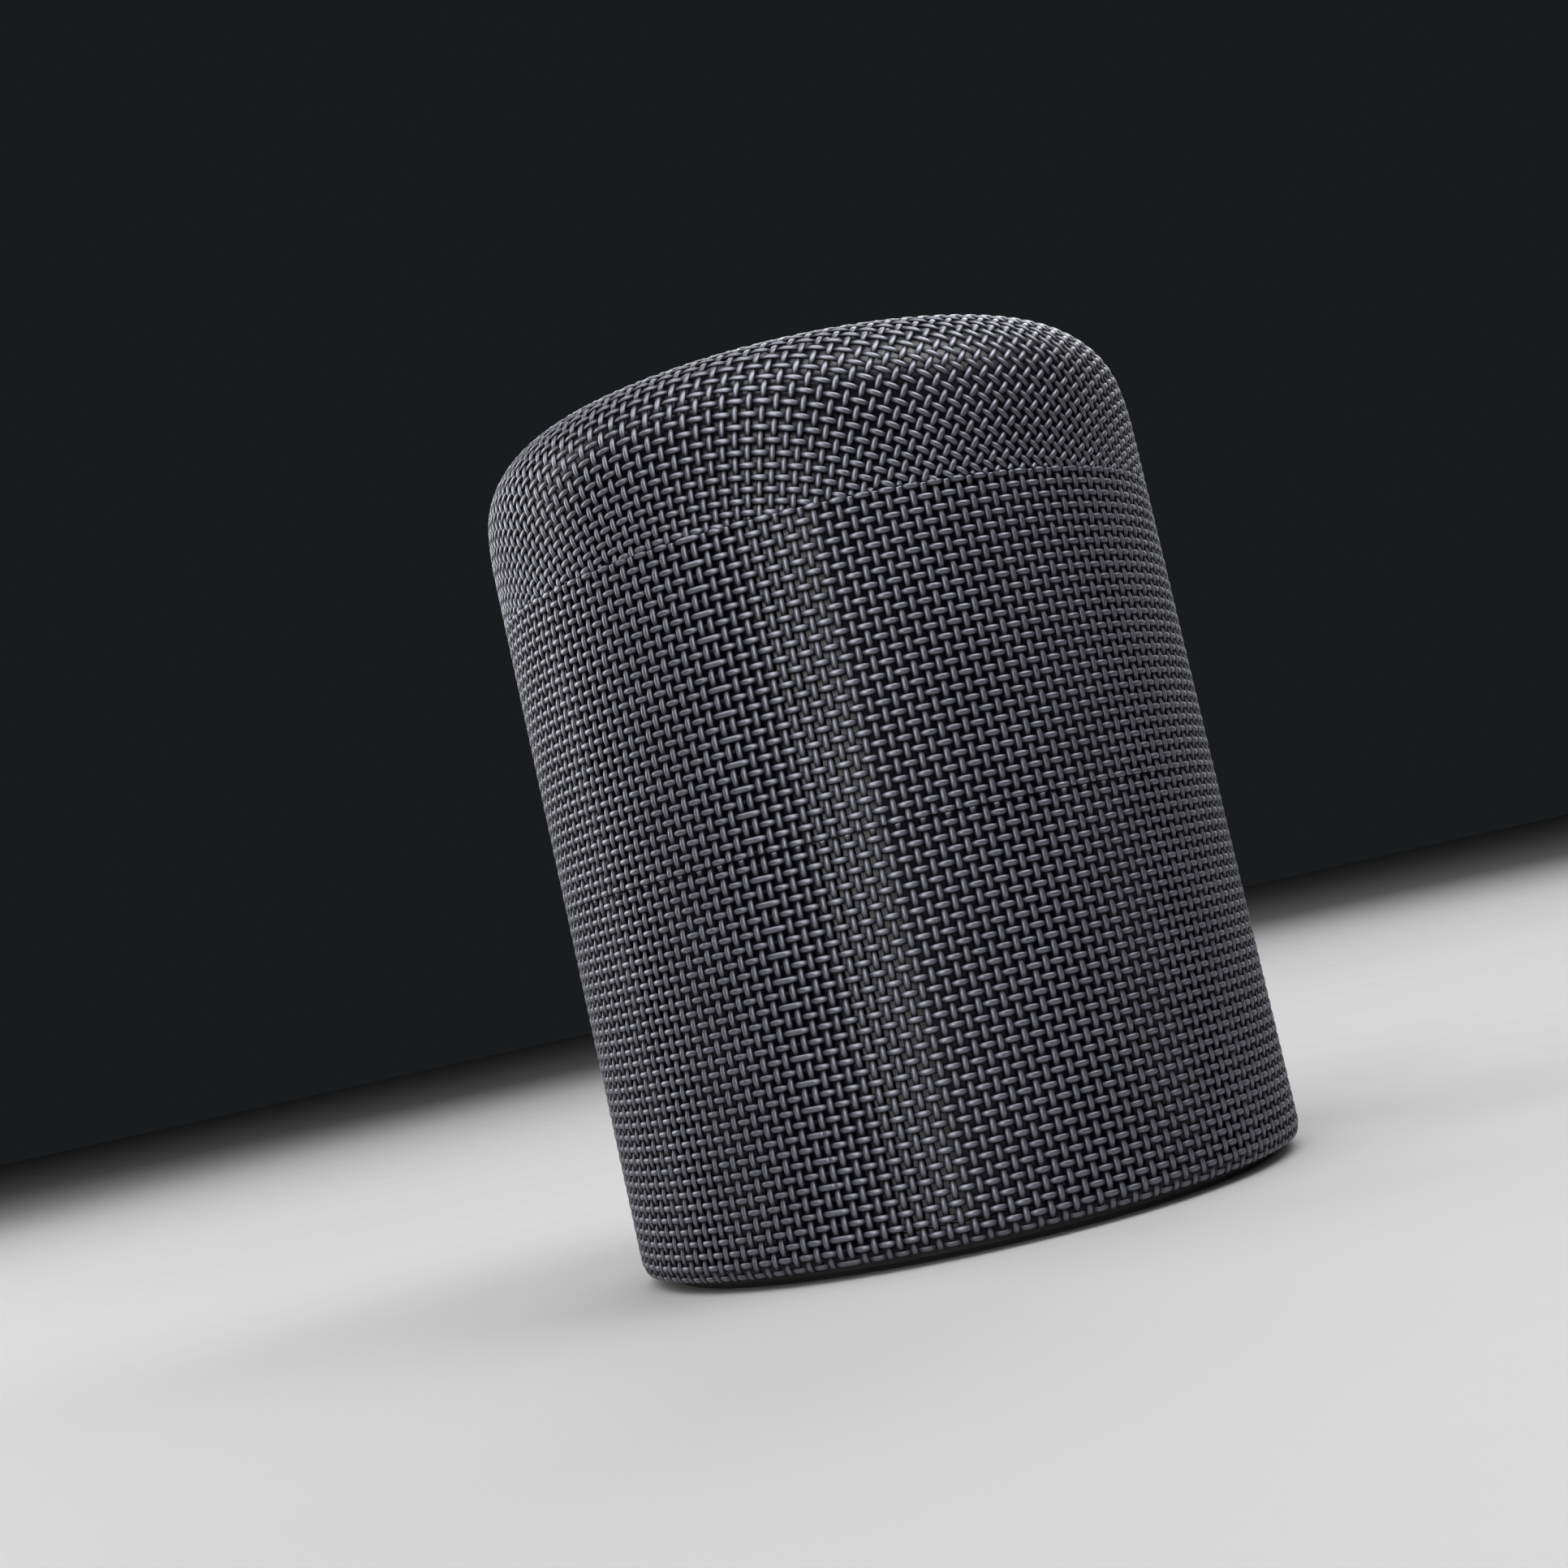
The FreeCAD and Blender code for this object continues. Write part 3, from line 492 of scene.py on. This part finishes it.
def mesh_material():
    """Satin coat on the strands: polished on their crests, dull where they dive under, with painted shade
    making their dives and sides dark.
    """
    made, tree, shader = material("mesh_coat_and_painted_shade")
    painted_shade_mask = tree.nodes.new("ShaderNodeAttribute")
    painted_shade_mask.attribute_name = "painted_shade_mask"
    fine = noise(tree, 2500.0, detail=4.0)
    wander = mapped(tree, noise(tree, 140.0), -0.05, 0.05)
    height = tree.nodes.new("ShaderNodeMath")
    height.operation = "ADD"
    tree.links.new(painted_shade_mask.outputs["Fac"], height.inputs[0])
    tree.links.new(wander, height.inputs[1])
    shade = height.outputs["Value"]
    # painted shade: the base colour darkens away from the crests, towards the sides and dives
    colour = mixed_colour(tree, shade, MESH_PAINTED_SHADE, MESH_LIGHT, MESH_PAINTED_SHADE_RANGE, "EASE")
    rough = mapped(tree, shade, MESH_DULL, MESH_POLISHED, MESH_POLISH_RANGE)
    tree.links.new(colour, shader.inputs["Base Color"])
    tree.links.new(rough, shader.inputs["Roughness"])
    shader.inputs["Specular IOR Level"].default_value = MESH_SPECULAR
    shader.inputs["Metallic"].default_value = MESH_METALLIC
    bumped(tree, shader, fine, 0.06, 0.01 * MM)
    return made


def liner_material():
    """Black lacquered sleeve with fine grooves round it, which draw reflections out in height."""
    return surface("liner", (0.004, 0.004, 0.007), (0.006, 0.006, 0.010), (0.20, 0.23), 300.0, bump=0.01,
                   depth=0.01, Specular_IOR_Level=0.27, Anisotropic=1.0, Anisotropic_Rotation=0.25)


def dome_liner_material():
    """The same lacquer on the dome, without grooves, so it takes a soft grey sheen at the shoulder."""
    return surface("dome_liner", (0.004, 0.004, 0.007), (0.006, 0.006, 0.010), (0.30, 0.36), 300.0, bump=0.01,
                   depth=0.01, Specular_IOR_Level=0.3)


def paint_nodes():
    paint(liner_material(), "liner_sleeve", "split_ring", "cap_ring", "base_trim_ring")
    paint(dome_liner_material(), "liner_dome")
    paint(dark_plastic("base_plastic", (0.030, 0.030, 0.034), (0.38, 0.52), 1200.0), "base_plate")
    paint(dark_plastic("housing_plastic", (0.020, 0.020, 0.022), (0.45, 0.60), 900.0),
          "housing_tube", "baffle", "cap_frame", "sound_deflector", "battery_tray", "control_cup")
    paint(dark_plastic("pad_plastic", (0.028, 0.028, 0.032), (0.34, 0.46), 1600.0), "control_pad")
    paint(dark_plastic("port_plastic", (0.026, 0.026, 0.030), (0.30, 0.42), 1400.0), "port_bezel")
    paint(rubber("foot_rubber", (0.020, 0.020, 0.021)), "foot_ring")
    paint(rubber("cover_rubber", (0.030, 0.030, 0.034)), "port_cover")
    paint(rubber("key_rubber", (0.034, 0.034, 0.038)), *KEYS)
    paint(rubber("roll_rubber", (0.015, 0.015, 0.016)),
          "driver_surround", "left_radiator_surround", "right_radiator_surround")
    paint(metal("bezel_metal", (0.20, 0.20, 0.215), (0.26, 0.34)), "pad_bezel")
    paint(metal("screw_steel", (0.42, 0.42, 0.43), (0.28, 0.42)),
          "base_screws", "driver_screws", "board_screws")
    paint(metal("basket_metal", (0.10, 0.10, 0.11), (0.45, 0.6)), "driver_basket")
    paint(metal("magnet_steel", (0.30, 0.30, 0.31), (0.35, 0.5)), "driver_magnet")
    paint(metal("coil_brass", (0.62, 0.33, 0.16), (0.3, 0.42)), "driver_voice_coil")
    paint(metal("heat_sink_metal", (0.55, 0.56, 0.58), (0.3, 0.45)), "amplifier_heat_sink")
    paint(metal("tin_shield", (0.60, 0.60, 0.60), (0.25, 0.4)), "radio_module_shield", "key_switches")
    paint(metal("socket_metal", (0.55, 0.55, 0.56), (0.2, 0.3)), "usb_socket")
    paint(metal("diaphragm_metal", (0.48, 0.49, 0.50), (0.3, 0.42)),
          "left_radiator_frame", "right_radiator_frame", "left_radiator_diaphragm", "right_radiator_diaphragm")
    paint(surface("cone_paper", (0.022, 0.022, 0.023), (0.045, 0.044, 0.042), (0.75, 0.9), 1800.0, bump=0.5),
          "driver_cone", "driver_dust_cap")
    paint(surface("cell_sleeve", (0.02, 0.09, 0.22), (0.03, 0.11, 0.26), (0.25, 0.4), 500.0), "battery_cells")
    paint(surface("board_lacquer", (0.01, 0.09, 0.04), (0.015, 0.12, 0.055), (0.25, 0.45), 700.0),
          "main_board", "key_board")
    paint(surface("lead_sleeve", (0.02, 0.02, 0.02), (0.035, 0.035, 0.035), (0.45, 0.6), 2000.0),
          "key_ribbon", "driver_lead", "battery_lead")
    paint(surface("light_pipe", (0.55, 0.60, 0.62), (0.62, 0.67, 0.70), (0.25, 0.35), 800.0,
                  Transmission_Weight=0.3), "status_light")


# ---------------------------------------------------------------- key symbols
def symbol(name, key, outlines, printed):
    """A flat printed mark on a key's top: each outline is a closed row of (x, y) points from its middle."""
    low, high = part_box(key)
    middle_x = 0.5 * (low[0] + high[0])
    middle_y = 0.5 * (low[1] + high[1])
    points = []
    faces = []
    for outline in outlines:
        start = len(points)
        count = len(outline)
        for z in (high[2] - MARK_DEPTH, high[2] + MARK_PROUD):
            points += [(middle_x + x, middle_y + y, z) for x, y in outline]
        faces.append([start + i for i in reversed(range(count))])
        faces.append([start + count + i for i in range(count)])
        for i in range(count):
            j = (i + 1) % count
            faces.append([start + i, start + j, start + count + j, start + count + i])
    mesh = bpy.data.meshes.new(name)
    mesh.from_pydata(points, [], faces)
    mesh.materials.append(printed)
    obj = placed(name, mesh)
    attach(obj, key)


def bar(length, width, turn=0.0):
    """Outline of a bar with round ends."""
    outline = []
    for side in (0, math.pi):
        for step in range(9):
            angle = side - math.pi / 2 + math.pi * step / 8
            x = math.copysign(0.5 * (length - width), math.cos(side)) + 0.5 * width * math.cos(angle)
            outline.append((x, 0.5 * width * math.sin(angle)))
    cos = math.cos(turn)
    sin = math.sin(turn)
    return [(x * cos - y * sin, x * sin + y * cos) for x, y in outline]


def arc_band(radius, width, start, end):
    """Outline of part of a ring."""
    turns = [start + (end - start) * step / 40 for step in range(41)]
    outer = [((radius + 0.5 * width) * math.cos(t), (radius + 0.5 * width) * math.sin(t)) for t in turns]
    inner = [((radius - 0.5 * width) * math.cos(t), (radius - 0.5 * width) * math.sin(t)) for t in turns]
    return outer + inner[::-1]


def triangle(size):
    return [(size * math.cos(t), size * math.sin(t)) for t in (0, 2 * math.pi / 3, 4 * math.pi / 3)]


def disc(radius):
    turns = [math.pi * step / 16 for step in range(32)]
    return [(radius * math.cos(t), radius * math.sin(t)) for t in turns]


def key_symbols():
    printed = surface("mark_print", (0.40, 0.40, 0.42), (0.46, 0.46, 0.48), (0.5, 0.6), 1500.0, bump=0.1)
    level = bar(MARK_LENGTH, MARK_LINE)
    upright = bar(MARK_LENGTH, MARK_LINE, math.pi / 2)
    symbol("play_mark", "play_key", [triangle(2.0 * MM)], printed)
    symbol("volume_up_mark", "volume_up_key", [level, upright], printed)
    symbol("volume_down_mark", "volume_down_key", [level], printed)
    top = math.pi / 2
    gap = math.radians(35)
    power_ring = arc_band(1.35 * MM, MARK_LINE, top + gap, top + 2 * math.pi - gap)
    power_stroke = [(x, y + 1.1 * MM) for x, y in bar(0.5 * MARK_LENGTH, MARK_LINE, top)]
    symbol("power_mark", "power_key", [power_ring, power_stroke], printed)
    spread = math.radians(50)
    waves = [arc_band(size * MM, MARK_LINE, -spread, spread) for size in (1.3, 2.2)]
    waves.append(disc(0.42 * MM))
    shifted = [[(x - 0.9 * MM, y) for x, y in wave] for wave in waves]
    symbol("pairing_mark", "pairing_key", shifted, printed)


# ---------------------------------------------------------------- scene
def softbox(name, turn, lift, distance, width, height, radiance, tint):
    """A soft lamp aimed at the object. In degrees: turn from the front towards +X, lift over the floor."""
    turn = math.radians(turn)
    lift = math.radians(lift)
    outward = Vector((math.sin(turn) * math.cos(lift), -math.cos(turn) * math.cos(lift), math.sin(lift)))
    data = bpy.data.lights.new(name, "AREA")
    data.shape = "RECTANGLE"
    data.size = width
    data.size_y = height
    data.energy = radiance * math.pi * width * height
    data.color = tint
    lamp = placed(name, data)
    lamp.location = Vector((0, 0, AIM_HEIGHT)) + outward * distance
    lamp.rotation_euler = (-outward).to_track_quat("-Z", "Y").to_euler()


def camera():
    """The camera looks slightly up and is rolled, so the upright object leans in the picture."""
    level = Vector((math.cos(CAMERA_YAW), -math.sin(CAMERA_YAW), 0))
    sideways = math.sin(CAMERA_YAW) * math.cos(CAMERA_PITCH)
    ahead = math.cos(CAMERA_YAW) * math.cos(CAMERA_PITCH)
    forward = Vector((sideways, ahead, math.sin(CAMERA_PITCH)))
    up = level.cross(forward)
    right = level * math.cos(CAMERA_ROLL) + up * math.sin(CAMERA_ROLL)
    above = up * math.cos(CAMERA_ROLL) - level * math.sin(CAMERA_ROLL)
    data = bpy.data.cameras.new("camera")
    data.sensor_width = SENSOR
    data.lens = LENS
    data.clip_start = 0.01
    obj = placed("camera", data)
    turn = Matrix((right, above, -forward)).transposed().to_4x4()
    obj.matrix_world = Matrix.Translation((0, -CAMERA_DISTANCE, CAMERA_HEIGHT)) @ turn
    bpy.context.scene.camera = obj


def studio():
    """Plain pale floor, dim room and soft lamps."""
    half = FLOOR_HALF
    mesh = bpy.data.meshes.new("floor")
    corners = [(-half, -half, 0), (half, -half, 0), (half, half, 0), (-half, half, 0)]
    mesh.from_pydata(corners, [], [(0, 1, 2, 3)])
    paper = surface("floor_paper", (0.26, 0.26, 0.263), (0.275, 0.275, 0.278), (0.75, 0.85), 40.0,
                    bump=0.02, drift=3.0, Specular_IOR_Level=0.2)
    mesh.materials.append(paper)
    floor = placed("floor", mesh)
    world = bpy.data.worlds.new("studio")
    bpy.context.scene.world = world
    world.use_nodes = True
    background = world.node_tree.nodes["Background"]
    background.inputs["Color"].default_value = ROOM_COLOUR
    background.inputs["Strength"].default_value = ROOM_STRENGTH
    for lamp in LAMPS:
        softbox(*lamp)
    bpy.context.scene.view_settings.view_transform = "Standard"


coat_and_painted_shade = mesh_material()
side_mesh(coat_and_painted_shade)
cap_mesh(coat_and_painted_shade)
paint_nodes()
key_symbols()
camera()
studio()
